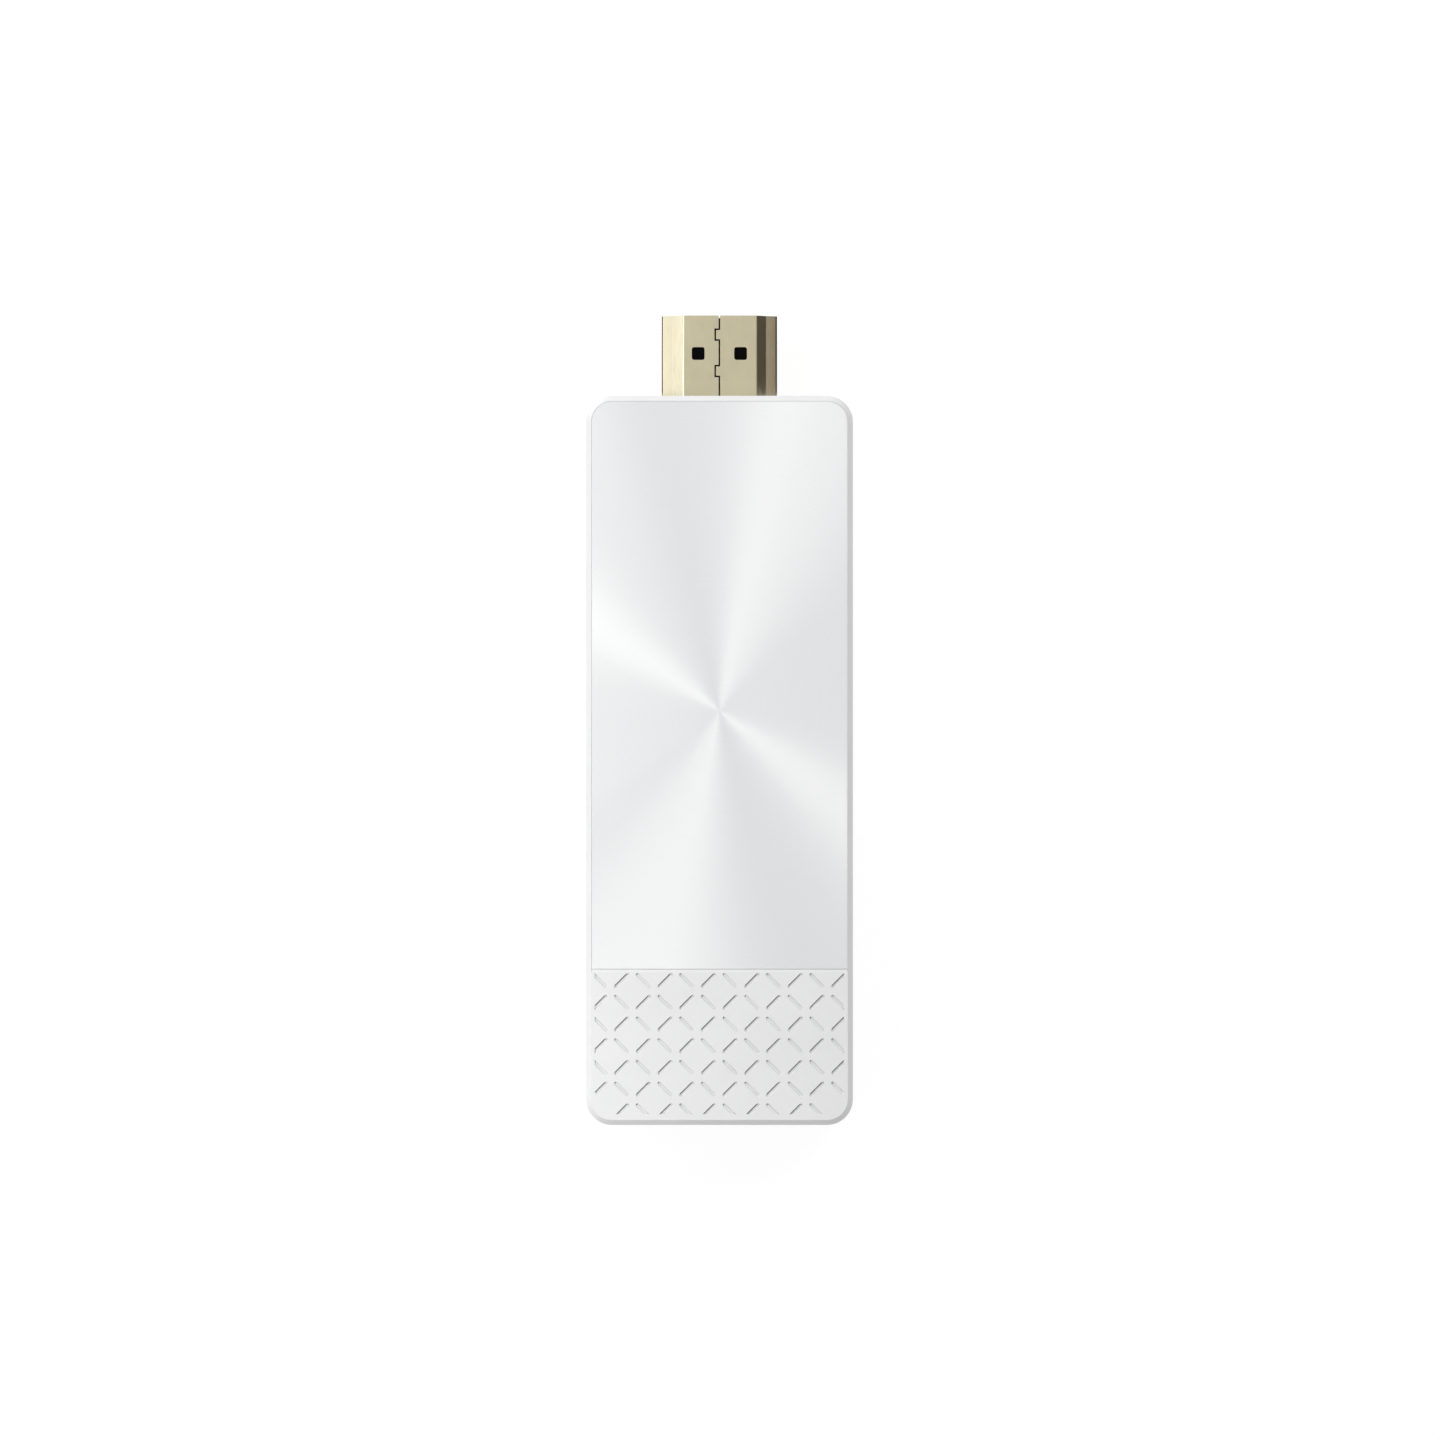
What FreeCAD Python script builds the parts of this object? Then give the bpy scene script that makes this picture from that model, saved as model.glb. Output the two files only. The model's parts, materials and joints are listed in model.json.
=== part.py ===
import FreeCAD, Part
import math
import os

# Wireless presentation dongle, in millimetres.
# X runs across the body, +Y points out of the display plug and +Z is the spun face.
# The origin is on the surface it lies on, under the middle of the overall length.

# Housing
body_width = 32.0
body_length = 87.4
body_height = 12.0
corner_radius = 3.1
edge_chamfer = 0.62
parting_chamfer = 0.15
side_wall = 1.4
floor_thickness = 1.2
roof_thickness = 1.3
least_corner = 0.3

# Lap joint between the covers
lip_thickness = 0.6
lip_height = 0.6
lap_gap = 0.05
snap_length = 5.0
snap_depth = 0.22
snap_base = 0.36
snap_setback = 23.0
snap_spacing = 27.0
snap_count = 3

# Spun plate in the pocket of the top cover
plate_thickness = 0.4
plate_gap = 0.02
plate_rim_land = 0.05
seam_bevel_width = 0.35
seam_bevel_depth = 0.08
adhesive_thickness = 0.1
adhesive_inset = 0.4

# Lattice tail of the top cover
lattice_length = 18.7
lattice_first_row = 1.4
lattice_pitch = 2.6
lattice_columns = 12
lattice_rows = 7
slot_length = 2.46
slot_width = 0.46
slot_depth = 0.16
slot_draft = 0.12
slot_end_sides = 3
lattice_side_margin = 1.05
lattice_tail_margin = 1.3
lattice_corner = 2.6

# Vent slots in the floor
vent_count = 7
vent_length = 13.0
vent_width = 1.1
vent_pitch = 3.0
vent_setback = 16.0
vent_end_sides = 6

# Display plug
plug_width = 13.9
plug_height = 4.45
plug_exposed = 9.8
plug_sheet = 0.3
plug_flat_width = 8.85
plug_kink_width = 11.2
plug_kink_drop = 1.2
plug_shoulder_drop = 1.9
plug_bend_radius = 0.45
plug_opening_gap = 0.12
plug_pad_depth = 0.8
seam_width = 0.19
seam_jog = 0.5
seam_jog_starts = (1.65, 6.03)
seam_jog_length = 1.3
window_size = 1.54
window_corner = 0.25
window_spacing = 5.1
window_setback = 4.57
plug_tab_length = 5.6
plug_tab_height = 1.5

# Plug insulator and contacts
insulator_fit = 0.03
insulator_setback = 0.35
tongue_slot_width = 11.4
tongue_slot_height = 2.1
tongue_slot_depth = 7.6
rear_block_length = 3.2
rear_block_width = 16.4
rear_block_height = 6.0
rear_rib_spacing = 8.2
rear_rib_thickness = 1.4
contact_pitch = 1.0
contact_upper_count = 10
contact_lower_count = 9
contact_width = 0.36
contact_thickness = 0.15
contact_groove_width = 0.52
contact_groove_depth = 0.42
contact_bulge = 0.24
contact_ramp = 1.2
contact_pad_length = 1.7

# Main board
board_thickness = 1.0
board_edge_gap = 0.5
board_rib_length = 1.6
board_rib_overlap = 0.9
board_rib_gap = 0.05
boss_radius = 1.9
boss_side_gap = 0.7
boss_front_setback = 4.4
boss_tail_setback = 19.5
boss_floor_left = 0.6
boss_web_thickness = 0.7
screw_radius = 0.8
screw_hole_radius = 1.0
screw_head_radius = 1.45
screw_head_height = 0.8
screw_length = 3.6
screw_recess_width = 0.4
screw_recess_depth = 0.4
screw_recess_span = 1.7

# Chips under the large shield, each as across, along, height
system_chip_size = (14.0, 14.0, 1.2)
memory_chip_size = (8.0, 10.0, 1.0)
memory_spacing = 9.4
shield_setback = 8.0
shield_side_gap = 1.2
shield_margin = 1.2
chip_gap = 1.0
chip_pad_thickness = 0.6
shield_sheet = 0.2
shield_flange = 1.1
shield_lid_gap = 0.03
shield_skirt = 1.1
shield_finger_pitch = 4.0
shield_finger_gap = 0.35
shield_finger_depth = 0.8

# Heat spreader under the roof
spreader_thickness = 0.8
spreader_side_gap = 0.7
spreader_overhang = 3.0
stake_radius = 0.7
stake_stand_out = 0.4
stake_inset = 1.6
stake_hole_gap = 0.05

# Other parts on the board, each as across, along, height
display_chip_size = (5.0, 5.0, 0.9)
surge_array_size = (2.5, 1.0, 0.5)
surge_array_spacing = 3.1
surge_array_count = 4
power_chip_size = (5.0, 5.0, 0.9)
inductor_size = (3.8, 3.8, 1.9)
inductor_corner = 0.8
inductor_base = 0.6
inductor_spacing = 4.6
crystal_size = (3.2, 2.5, 0.8)
flash_chip_size = (11.5, 13.0, 1.0)
bulk_capacitor_size = (3.5, 6.0, 2.6)
bulk_capacitor_spacing = 6.0
small_part_size = (0.8, 1.6, 0.8)
small_part_end = 0.3
small_part_end_gap = 0.06
small_part_pitch = 2.1
capacitor_count = 8
resistor_count = 6
resistor_height = 0.5
part_row_gap = 1.4

# Radio module and antennas
radio_board_size = (12.0, 14.0, 0.8)
radio_pad_width = 0.64
radio_pad_depth = 0.3
radio_pad_pitch = 1.27
radio_pad_count = 9
radio_can_size = (10.4, 10.8, 1.6)
radio_chip_size = (5.0, 5.0, 0.9)
antenna_width = 3.4
antenna_length = 12.4
antenna_height = 2.6
antenna_sheet = 0.3
antenna_side_gap = 1.3
antenna_tail_gap = 1.7
antenna_leg_width = 1.2
antenna_leg_spacing = 2.4
antenna_notch_width = 0.8
antenna_notch_count = 2
antenna_notch_pitch = 3.0

# Power socket
socket_width = 7.5
socket_height = 2.6
socket_slant = 0.9
socket_sheet = 0.25
socket_length = 5.6
socket_corner = 0.3
socket_recess = 0.3
socket_opening_gap = 0.15
socket_back_length = 1.5
socket_tongue_width = 3.8
socket_tongue_thickness = 0.6
socket_tongue_rise = 0.35
socket_tongue_setback = 0.6
socket_wing_width = 1.5
socket_wing_length = 1.6
socket_leg_width = 0.9
socket_contact_count = 5
socket_contact_pitch = 0.65
socket_contact_width = 0.3
socket_contact_sheet = 0.12
socket_contact_setback = 1.2
socket_pad_length = 1.0
socket_tail_room = 0.45
board_cutout_gap = 0.15

# Reset button with its switch
button_setback = 6.5
button_length = 6.0
button_height = 1.6
button_recess = 0.1
button_guide_gap = 0.06
button_flange_margin = 0.7
button_flange_rise = 0.4
button_flange_thickness = 0.5
button_rest_gap = 0.05
button_travel = 0.25
button_stem_length = 2.2
button_stem_height = 1.0
button_edge_round = 0.15
switch_width = 4.8
switch_depth = 3.0
switch_height = 2.6
switch_wall = 0.4
switch_sheet = 0.15
switch_reach = 0.5
switch_window_gap = 0.08
plunger_head_thickness = 0.5
plunger_head_gap = 0.12
snap_plate_rise = 0.45
snap_plate_span = 2.4
snap_plate_height = 1.4
snap_plate_sheet = 0.1

# Status light
light_spacing = 7.5
pipe_radius = 0.75
pipe_block = 1.8
pipe_slant = 1.2
pipe_collar = 2.4
pipe_collar_thickness = 0.5
pipe_elbow = 1.5
pipe_hole_gap = 0.02
light_gap = 0.1
light_size = (1.6, 0.8, 0.35)
light_lens_height = 0.25
light_lens_inset = 0.25

# Places worked out from the sizes
overall_length = body_length + plug_exposed
tip_y = overall_length / 2
tail_y = -overall_length / 2
front_y = tail_y + body_length
half_width = body_width / 2
parting_z = body_height / 2
roof_z = body_height - roof_thickness
inner_half_width = half_width - side_wall
wall_middle_x = half_width - side_wall / 2
inner_front_y = front_y - side_wall
inner_tail_y = tail_y + side_wall
seam_y = tail_y + lattice_length
pocket_depth = plate_thickness + adhesive_thickness
pocket_inset = edge_chamfer + plate_rim_land
plug_z = parting_z
shell_rear_y = inner_front_y - plug_pad_depth
face_y = tip_y - insulator_setback
slot_end_y = face_y - tongue_slot_depth
board_front_y = shell_rear_y - rear_block_length
board_tail_y = inner_tail_y + board_edge_gap
board_half_width = inner_half_width - board_edge_gap
rib_end_x = board_half_width - board_rib_overlap
board_top = parting_z + board_thickness / 2
board_bottom = parting_z - board_thickness / 2
boss_x = inner_half_width - boss_side_gap - boss_radius
boss_front_y = board_front_y - boss_front_setback
boss_tail_y = tail_y + boss_tail_setback
boss_places = [(-boss_x, boss_front_y), (boss_x, boss_tail_y)]
shield_half_width = rib_end_x - shield_side_gap
shield_front_y = board_front_y - shield_setback
system_chip_y = shield_front_y - shield_margin - system_chip_size[1] / 2
memory_y = system_chip_y - system_chip_size[1] / 2 - chip_gap - memory_chip_size[1] / 2
shield_rear_y = memory_y - memory_chip_size[1] / 2 - shield_margin
lid_underside = board_top + system_chip_size[2] + chip_pad_thickness
lid_top = lid_underside + shield_sheet
spreader_underside = roof_z - spreader_thickness
spreader_half_width = rib_end_x - spreader_side_gap
button_y = shield_rear_y - button_setback
button_z = board_top + switch_height / 2
light_y = button_y - light_spacing
socket_mouth_y = tail_y + socket_recess
socket_rear_y = socket_mouth_y + socket_length
radio_y = boss_tail_y
clamp_stations = (shield_front_y - boss_radius, button_y + button_length, tail_y + antenna_length / 2)

TINY = 1e-6
V = FreeCAD.Vector


# Drawing helpers

def corner_arc(corners, index):
    """Points where the rounding of one (u, v, radius) corner starts, passes and ends."""
    u, v, radius = corners[index]
    here = V(u, v, 0)
    before = corners[index - 1]
    after = corners[(index + 1) % len(corners)]
    back = (V(before[0], before[1], 0) - here).normalize()
    ahead = (V(after[0], after[1], 0) - here).normalize()
    half_angle = back.getAngle(ahead) / 2
    reach = radius / math.tan(half_angle)
    to_middle = radius / math.sin(half_angle) - radius
    middle = here + (back + ahead).normalize() * to_middle
    return here + back * reach, middle, here + ahead * reach


def rounded_wire(corners, place, faceted=False):
    """Closed wire put into space by the placing function; faceted corners take two straight sides."""
    arcs = [corner_arc(corners, index) for index in range(len(corners))]
    edges = []
    for index, (start, middle, end) in enumerate(arcs):
        following = arcs[(index + 1) % len(arcs)][0]
        if (end - start).Length > TINY and faceted:
            edges.append(Part.makeLine(place(start), place(middle)))
            edges.append(Part.makeLine(place(middle), place(end)))
        elif (end - start).Length > TINY:
            edges.append(Part.Arc(place(start), place(middle), place(end)).toShape())
        if (following - end).Length > TINY:
            edges.append(Part.makeLine(place(end), place(following)))
    return Part.Wire(edges)


def plan_prism(corners, z_start, z_end, faceted=False):
    wire = rounded_wire(corners, lambda p: V(p.x, p.y, z_start), faceted)
    return Part.Face(wire).extrude(V(0, 0, z_end - z_start))


def front_prism(corners, y_start, y_end, faceted=False):
    """Prism along Y whose corners are given as x and z."""
    wire = rounded_wire(corners, lambda p: V(p.x, y_start, p.y), faceted)
    return Part.Face(wire).extrude(V(0, y_end - y_start, 0))


def side_prism(corners, x_start, x_end):
    """Prism along X whose corners are given as y and z."""
    wire = rounded_wire(corners, lambda p: V(x_start, p.x, p.y))
    return Part.Face(wire).extrude(V(x_end - x_start, 0, 0))


def rectangle(u_low, u_high, v_low, v_high, radius=0.0):
    return [(u, v, radius) for u, v in ((u_low, v_low), (u_high, v_low), (u_high, v_high), (u_low, v_high))]


def centred_rectangle(u, v, width, height, radius=0.0):
    return rectangle(u - width / 2, u + width / 2, v - height / 2, v + height / 2, radius)


def block(x_low, x_high, y_low, y_high, z_low, z_high):
    return Part.makeBox(x_high - x_low, y_high - y_low, z_high - z_low, V(x_low, y_low, z_low))


def standing_cylinder(x, y, z_low, z_high, radius):
    return Part.makeCylinder(radius, z_high - z_low, V(x, y, z_low))


def mirrored(shape):
    """The same shape on the other side of the middle plane."""
    return shape.mirror(V(0, 0, 0), V(1, 0, 0))


def band(points, thickness):
    """Outline of a strip of even thickness along a line of (u, v) points."""
    line = [V(u, v, 0) for u, v in points]
    steps = [(b - a).normalize() for a, b in zip(line, line[1:])]
    one_side = []
    other_side = []
    for index, point in enumerate(line):
        before = steps[max(index - 1, 0)]
        after = steps[min(index, len(steps) - 1)]
        across = V(-before.y - after.y, before.x + after.x, 0).normalize()
        half = thickness / 2 / across.dot(V(-after.y, after.x, 0))
        one_side.append((point.x + across.x * half, point.y + across.y * half, 0.0))
        other_side.append((point.x - across.x * half, point.y - across.y * half, 0.0))
    return one_side + other_side[::-1]


def fuse(shapes):
    return shapes[0].multiFuse(shapes[1:]).removeSplitter()


def part_on_top(x, y, size, radius=0.0):
    """Package on the board's upper face, from its across, along and height sizes."""
    outline = centred_rectangle(x, y, size[0], size[1], radius)
    return plan_prism(outline, board_top, board_top + size[2])


def part_below(x, y, size, radius=0.0):
    """Package on the board's lower face."""
    outline = centred_rectangle(x, y, size[0], size[1], radius)
    return plan_prism(outline, board_bottom - size[2], board_bottom)


# Housing

def footprint(inset):
    """Outline of the body in plan, drawn in by the inset."""
    radius = max(corner_radius - inset, least_corner)
    return rectangle(-half_width + inset, half_width - inset, tail_y + inset, front_y - inset, radius)


def housing_half(z_open, z_closed):
    """Solid half of the body, chamfered round its closed end and, as a fine groove, at the parting line."""
    half = plan_prism(footprint(0), z_open, z_closed)
    for z, chamfer in ((z_closed, edge_chamfer), (z_open, parting_chamfer)):
        rim = [edge for edge in half.Edges if all(abs(v.Z - z) < TINY for v in edge.Vertexes)]
        half = half.makeChamfer(chamfer, rim)
    return half


def lip_ring(grow):
    """Ring of the lap joint: the bottom cover's lip, or with a grown size the room for it."""
    outside = footprint(side_wall - lip_thickness - grow)
    inside = footprint(side_wall + grow)
    top = parting_z + lip_height + grow
    return plan_prism(outside, parting_z, top).cut(plan_prism(inside, parting_z, top))


def snap_beads(grow):
    """Wedges on the lip's outer face that click into grooves in the top cover."""
    face = inner_half_width + lip_thickness
    middle = parting_z + lip_height / 2
    base = snap_base + 2 * grow
    crest = face + snap_depth + grow
    wedge = [(face - lip_thickness / 2, middle - base / 2, 0), (face, middle - base / 2, 0),
             (crest, middle, 0), (face, middle + base / 2, 0),
             (face - lip_thickness / 2, middle + base / 2, 0)]
    beads = []
    for index in range(snap_count):
        y = front_y - snap_setback - index * snap_spacing
        bead = front_prism(wedge, y - snap_length / 2 - grow, y + snap_length / 2 + grow)
        beads += [bead, mirrored(bead)]
    return beads


def plug_outline():
    """Cross-section of the plug, narrow face up, as x and z."""
    top = plug_z + plug_height / 2
    right = [(plug_flat_width / 2, top), (plug_kink_width / 2, top - plug_kink_drop),
             (plug_width / 2, top - plug_shoulder_drop), (plug_width / 2, top - plug_height)]
    left = [(-x, z) for x, z in reversed(right)]
    return [(x, z, plug_bend_radius) for x, z in right + left]


def plug_body(grow, y_start, y_end, faceted=False):
    """The plug's outer form between two stations, grown or shrunk evenly."""
    wire = rounded_wire(plug_outline(), lambda p: V(p.x, y_start, p.y), faceted)
    if abs(grow) > TINY:
        wire = wire.makeOffset2D(grow)
    return Part.Face(wire).extrude(V(0, y_end - y_start, 0))


def socket_outline(grow):
    """Cross-section of the power socket, its slanted corners down, as x and z."""
    half = socket_width / 2 + grow
    top = parting_z + socket_height / 2 + grow
    low = parting_z - socket_height / 2 - grow
    slant = socket_slant + grow * (2 - math.sqrt(2))
    radius = socket_corner + max(grow, -socket_corner / 2)
    return [(-half, top, radius), (half, top, radius), (half, low + slant, radius),
            (half - slant, low, radius), (slant - half, low, radius), (-half, low + slant, radius)]


def socket_body(grow, y_start, y_end):
    """The socket's outer form between two stations, grown or shrunk evenly."""
    return front_prism(socket_outline(grow), y_start, y_end, faceted=True)


def wall_openings():
    """Room for the plug and the socket, shared by both covers at the parting line."""
    return [plug_body(plug_opening_gap, shell_rear_y - TINY, tip_y),
            socket_body(socket_opening_gap, tail_y - side_wall, inner_tail_y + side_wall)]


def plug_pad(z_low, z_high):
    """Thicker stretch of the front wall behind which the plug's rear block seats."""
    half = rear_block_width / 2 + side_wall
    return block(-half, half, shell_rear_y, inner_front_y, z_low, z_high)


def stadium(x, y, length, width, turn, end_sides):
    """Long slot turned by an angle, its round ends drawn by a few straight sides."""
    radius = width / 2
    reach = (length - width) / 2
    outline = []
    for end in (1, -1):
        for step in range(end_sides + 1):
            angle = math.pi * (step / end_sides - 0.5)
            along = end * (reach + radius * math.cos(angle))
            across = end * radius * math.sin(angle)
            outline.append((x + along * math.cos(turn) - across * math.sin(turn),
                            y + along * math.sin(turn) + across * math.cos(turn), 0.0))
    return outline


def drafted_cutter(outline_for):
    """Cutter as deep as the lattice grooves, whose walls lean out to the grown outline above the surface."""
    low = [V(x, y, body_height - slot_depth) for x, y, radius in outline_for(-slot_draft)]
    high = [V(x, y, body_height + slot_depth) for x, y, radius in outline_for(slot_draft)]
    faces = [Part.Face(Part.makePolygon(ring + ring[:1])) for ring in (low, high)]
    for index in range(len(low)):
        wall = [low[index - 1], low[index], high[index], high[index - 1], low[index - 1]]
        faces.append(Part.Face(Part.makePolygon(wall)))
    return Part.Solid(Part.Shell(faces))


def tail_field(grow):
    """Plan of the field that the lattice fills, with its two tail corners cut off."""
    half = half_width - lattice_side_margin + grow
    low = tail_y + lattice_tail_margin - grow
    right = [(half - lattice_corner, low, 0.0), (half, low + lattice_corner, 0.0), (half, seam_y, 0.0)]
    left = [(-x, y, radius) for x, y, radius in reversed(right)]
    return right + left


def lattice_grooves():
    """Grooves between the points of a diagonal lattice, trimmed to the tail's field."""
    half = half_width - lattice_side_margin
    low = tail_y + lattice_tail_margin
    field = drafted_cutter(tail_field)
    grooves = []
    for row in range(lattice_rows):
        y = seam_y - lattice_first_row - lattice_pitch * row
        for column in range(lattice_columns):
            x = lattice_pitch * (column + 0.5 - lattice_columns / 2)
            turn = math.pi / 4 if (row + column + lattice_columns // 2) % 2 else -math.pi / 4
            if field.isInside(V(x, y, body_height), TINY, True):
                groove = drafted_cutter(lambda grow: stadium(x, y, slot_length + 2 * grow,
                                                             slot_width + 2 * grow, turn, slot_end_sides))
                grooves.append(groove.common(field) if abs(x) + slot_length / 2 > half
                               or y - slot_length / 2 < low else groove)
    return Part.makeCompound(grooves)


def seam_bevel():
    """Cutter along the seam that breaks the tail's edge beside the spun plate."""
    above = body_height + seam_bevel_depth
    reach = 2 * seam_bevel_width
    outline = [(seam_y, body_height - seam_bevel_depth, 0), (seam_y + reach, above, 0),
               (seam_y - reach, above, 0)]
    return side_prism(outline, pocket_inset - half_width, half_width - pocket_inset)


def plate_outline(inset):
    """Plan of the plate pocket: round at the front corners, square at the lattice seam."""
    side = half_width - pocket_inset - inset
    front = front_y - pocket_inset - inset
    tail = seam_y + inset
    radius = max(corner_radius - pocket_inset - inset, least_corner)
    return [(-side, tail, 0.0), (side, tail, 0.0), (side, front, radius), (-side, front, radius)]


def board_ribs(z_low, z_high):
    """Ribs on the side walls, one above the other in the two covers, that grip the board."""
    ribs = []
    for y in clamp_stations:
        rib = block(rib_end_x, wall_middle_x, y - board_rib_length / 2, y + board_rib_length / 2,
                    z_low, z_high)
        ribs += [rib, mirrored(rib)]
    return ribs


def rear_block_ribs(z_low, z_high):
    """Lengthwise ribs of a cover that hold the plug's rear block."""
    near = (rear_rib_spacing - rear_rib_thickness) / 2
    rib = block(near, near + rear_rib_thickness, board_front_y, inner_front_y, z_low, z_high)
    return [rib, mirrored(rib)]


def stake_places():
    """Heat stakes near the front and the rear edge of the spreader."""
    front = shield_front_y + spreader_overhang - stake_inset
    rear = shield_rear_y - spreader_overhang + stake_inset
    return [(0, front), (0, rear)]


def build_bottom_cover():
    cover = housing_half(parting_z, 0)
    cover = cover.cut(plan_prism(footprint(side_wall), floor_thickness, parting_z))
    added = [lip_ring(0)] + snap_beads(0)
    added += board_ribs(floor_thickness - TINY, board_bottom)
    added += rear_block_ribs(floor_thickness - TINY, plug_z - rear_block_height / 2)
    added.append(plug_pad(floor_thickness - TINY, parting_z))
    for x, y in boss_places:
        wall_x = math.copysign(wall_middle_x, x)
        added.append(standing_cylinder(x, y, floor_thickness - TINY, board_bottom, boss_radius))
        added.append(block(min(x, wall_x), max(x, wall_x), y - boss_web_thickness / 2,
                           y + boss_web_thickness / 2, floor_thickness - TINY, board_bottom))
    cover = fuse([cover] + added)
    taken = wall_openings()
    for x, y in boss_places:
        taken.append(standing_cylinder(x, y, floor_thickness + boss_floor_left, board_bottom + TINY,
                                       screw_radius))
    for index in range(vent_count):
        y = shield_front_y - vent_setback - (index - (vent_count - 1) / 2) * vent_pitch
        vent = stadium(0, y, vent_length, vent_width, 0, vent_end_sides)
        taken.append(plan_prism(vent, -floor_thickness, 2 * floor_thickness))
    return cover.cut(taken)


def build_top_cover():
    cover = housing_half(parting_z, body_height)
    cover = cover.cut(plan_prism(footprint(side_wall), parting_z, roof_z))
    added = board_ribs(board_top + board_rib_gap, roof_z + TINY)
    added += rear_block_ribs(plug_z + rear_block_height / 2 + board_rib_gap, roof_z + TINY)
    added.append(plug_pad(parting_z, roof_z + TINY))
    for x, y in stake_places():
        added.append(standing_cylinder(x, y, spreader_underside - stake_stand_out, roof_z + TINY,
                                       stake_radius))
    cover = fuse([cover] + added)
    taken = [lip_ring(lap_gap)] + snap_beads(lap_gap) + wall_openings()
    taken.append(plan_prism(plate_outline(0), body_height - pocket_depth, body_height + pocket_depth))
    taken.append(seam_bevel())
    taken.append(side_prism(button_outline(button_guide_gap), inner_half_width - TINY,
                            half_width + side_wall))
    taken.append(Part.makeCylinder(pipe_radius + pipe_hole_gap, 2 * side_wall,
                                   V(inner_half_width - TINY, light_y, button_z), V(1, 0, 0)))
    return cover.cut(taken).cut(lattice_grooves())


def build_spun_top_plate():
    return plan_prism(plate_outline(plate_gap), body_height - plate_thickness, body_height)


def build_plate_adhesive():
    low = body_height - pocket_depth
    return plan_prism(plate_outline(adhesive_inset), low, low + adhesive_thickness)


def build_heat_spreader():
    sheet = block(-spreader_half_width, spreader_half_width, shield_rear_y - spreader_overhang,
                  shield_front_y + spreader_overhang, spreader_underside, roof_z)
    holes = [standing_cylinder(x, y, spreader_underside, roof_z, stake_radius + stake_hole_gap)
             for x, y in stake_places()]
    return sheet.cut(holes)


# Display plug

def plug_tabs():
    """Tongues of the shell that run back along the rear block into notches of the board."""
    low = parting_z - plug_tab_height / 2
    tab = block(plug_width / 2 - plug_sheet, plug_width / 2, shell_rear_y - plug_tab_length,
                shell_rear_y, low, low + plug_tab_height)
    return [tab, mirrored(tab)]


def build_plug_shell():
    shell = plug_body(0, shell_rear_y, tip_y).cut(plug_body(-plug_sheet, shell_rear_y, tip_y))
    shell = fuse([shell] + plug_tabs())
    line = [(0.0, tip_y + plug_sheet)]
    for start in seam_jog_starts:
        near = tip_y - start
        far = near - seam_jog_length
        line += [(0.0, near), (-seam_jog, near), (-seam_jog, far), (0.0, far)]
    line.append((0.0, shell_rear_y - plug_sheet))
    seam = plan_prism(band(line, seam_width), plug_z, plug_z + plug_height)
    openings = [seam]
    for side in (-1, 1):
        window = centred_rectangle(side * window_spacing / 2, tip_y - window_setback,
                                   window_size, window_size, window_corner)
        openings.append(plan_prism(window, plug_z - plug_height, plug_z + plug_height, faceted=True))
    return shell.cut(openings)


def contact_line(side):
    """Run of a plug contact from its sprung tip to its pad on the board; side is 1 above, -1 below."""
    ceiling = tongue_slot_height / 2
    tucked = ceiling + contact_groove_depth - contact_thickness
    seated = ceiling + contact_thickness
    tail = (board_thickness + contact_thickness) / 2
    slot_front = face_y - insulator_setback
    points = [(slot_front - contact_bulge, tucked), (slot_front - contact_ramp, ceiling - contact_bulge),
              (slot_end_y + contact_bulge, seated), (shell_rear_y, seated),
              (shell_rear_y - seated, tail), (board_front_y - contact_pad_length, tail)]
    return [(y, plug_z + side * z) for y, z in points]


def build_plug_contacts(side, count):
    outline = band(contact_line(side), contact_thickness)
    contacts = []
    for index in range(count):
        x = (index - (count - 1) / 2) * contact_pitch
        contacts.append(side_prism(outline, x - contact_width / 2, x + contact_width / 2))
    return Part.makeCompound(contacts)


def build_plug_insulator(contacts):
    core = plug_body(-plug_sheet - insulator_fit, shell_rear_y - TINY, face_y, faceted=True)
    rear = front_prism(centred_rectangle(0, plug_z, rear_block_width, rear_block_height),
                       board_front_y, shell_rear_y)
    insulator = fuse([core, rear])
    slot_half = tongue_slot_height / 2
    mouth = centred_rectangle(0, plug_z, tongue_slot_width, tongue_slot_height)
    taken = [front_prism(mouth, slot_end_y, face_y + insulator_setback)]
    for side, count in ((1, contact_upper_count), (-1, contact_lower_count)):
        for index in range(count):
            x = (index - (count - 1) / 2) * contact_pitch
            z = plug_z + side * slot_half
            deep = z + side * contact_groove_depth
            taken.append(block(x - contact_groove_width / 2, x + contact_groove_width / 2, slot_end_y,
                               face_y - insulator_setback, min(z, deep), max(z, deep)))
    return insulator.cut(taken).cut(plug_tabs()).cut(contacts)


# Main board and its fasteners

def build_main_board():
    corner = max(corner_radius - side_wall - board_edge_gap, least_corner)
    board = plan_prism(rectangle(-board_half_width, board_half_width, board_tail_y, board_front_y, corner),
                       board_bottom, board_top)
    taken = [standing_cylinder(x, y, board_bottom, board_top, screw_hole_radius) for x, y in boss_places]
    half = socket_width / 2 + board_cutout_gap
    taken.append(block(-half, half, board_tail_y - board_edge_gap, socket_rear_y + socket_tail_room,
                       board_bottom, board_top))
    taken += socket_legs(board_cutout_gap)
    tab = plug_tabs()[0].BoundBox
    notch = block(tab.XMin - board_cutout_gap, tab.XMax + board_cutout_gap, tab.YMin - board_cutout_gap,
                  board_front_y + board_cutout_gap, board_bottom, board_top)
    taken += [notch, mirrored(notch)]
    return board.cut(taken)


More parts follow.
